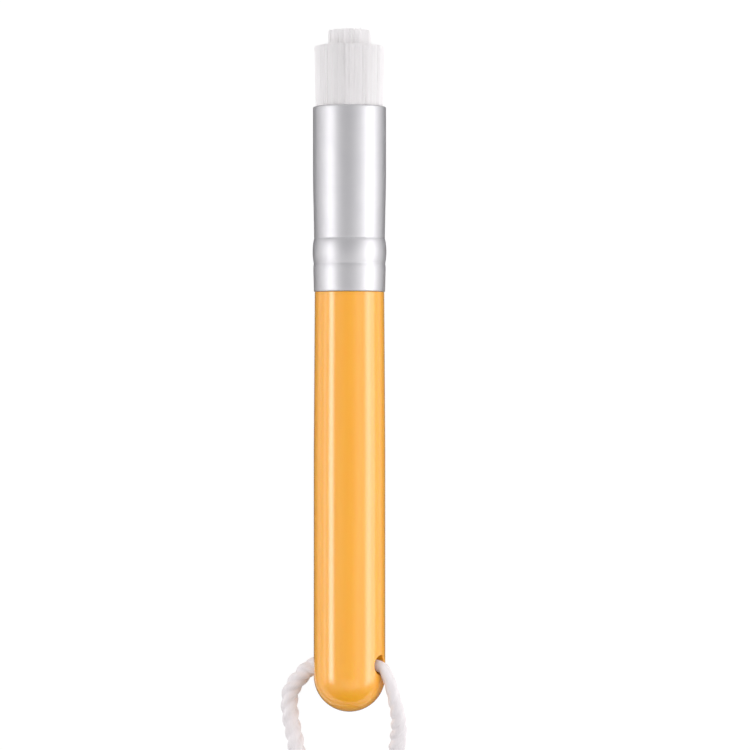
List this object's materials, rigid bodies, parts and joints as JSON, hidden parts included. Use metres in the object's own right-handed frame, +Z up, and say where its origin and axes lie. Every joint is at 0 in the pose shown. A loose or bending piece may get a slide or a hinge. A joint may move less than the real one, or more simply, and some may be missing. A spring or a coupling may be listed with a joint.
{
  "type": "round cleaning brush",
  "caption": "Slim round brush: white filament head cut in two steps, aluminium ferrule with a rolled crimp, lacquered round-ended handle and a twisted cord wrist loop.",
  "frame": {"origin": "on the table under the middle of the brush's length, as it lies on its side", "axes": "+Y along the brush from the round tail to the bristles, +Z up from the table, +X to the side where the cord comes out high"},
  "size_m": [0.0197, 0.168, 0.0111],
  "materials": {
    "lacquer": "turned wood under a thick glossy orange-yellow lacquer",
    "ferrule_metal": "satin anodised drawn tube",
    "bristle": "bundle of fine white nylon filaments, cut square",
    "thread": "waxed cotton thread, wound tight",
    "adhesive": "set epoxy",
    "cord": "soft three-strand twisted cord, slightly fuzzy"
  },
  "bodies": {
    "brush": {"handle": "lacquer", "ferrule": "ferrule_metal", "outer_bristles": "bristle", "centre_bristles": "bristle", "binding_thread": "thread", "glue_plug": "adhesive"},
    "lanyard": {"lanyard_cord": "cord", "lanyard_knot": "cord", "lanyard_ends": "cord"}
  },
  "joints": [
    {"name": "lanyard_swing", "type": "hinge", "parent": "brush", "child": "lanyard", "pos_m": [0, -0.04415, 0.00556], "axis": [-0.8829, 0, -0.4695], "range_deg": [0, 150]}
  ]
}
